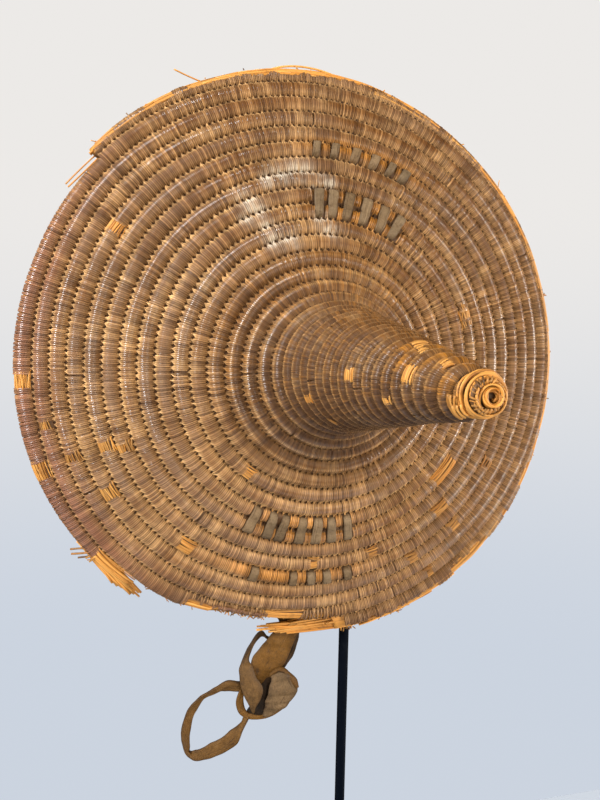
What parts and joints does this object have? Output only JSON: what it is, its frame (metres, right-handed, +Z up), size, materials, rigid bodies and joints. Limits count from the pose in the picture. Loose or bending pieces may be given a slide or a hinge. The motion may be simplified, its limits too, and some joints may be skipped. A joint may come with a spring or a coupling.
{
  "type": "coiled basketry shield on a stand",
  "caption": "Round coiled-basketry shield with a long pointed boss and a worn, broken rim, hung by its knotted hide strap on a black steel rod stand.",
  "frame": {"origin": "centre of the underside of the stand's foot", "axes": "+Z up, the shield faces -Y, +X to the right as seen from the front"},
  "size_m": [0.5018, 0.3878, 0.8022],
  "materials": {
    "basketry": "matte",
    "hide": "satin",
    "black_steel": "satin"
  },
  "bodies": {
    "root": {"coiled_shield": "basketry", "hide_strap": "hide", "stand_rod": "black_steel", "stand_foot": "black_steel"}
  },
  "joints": []
}
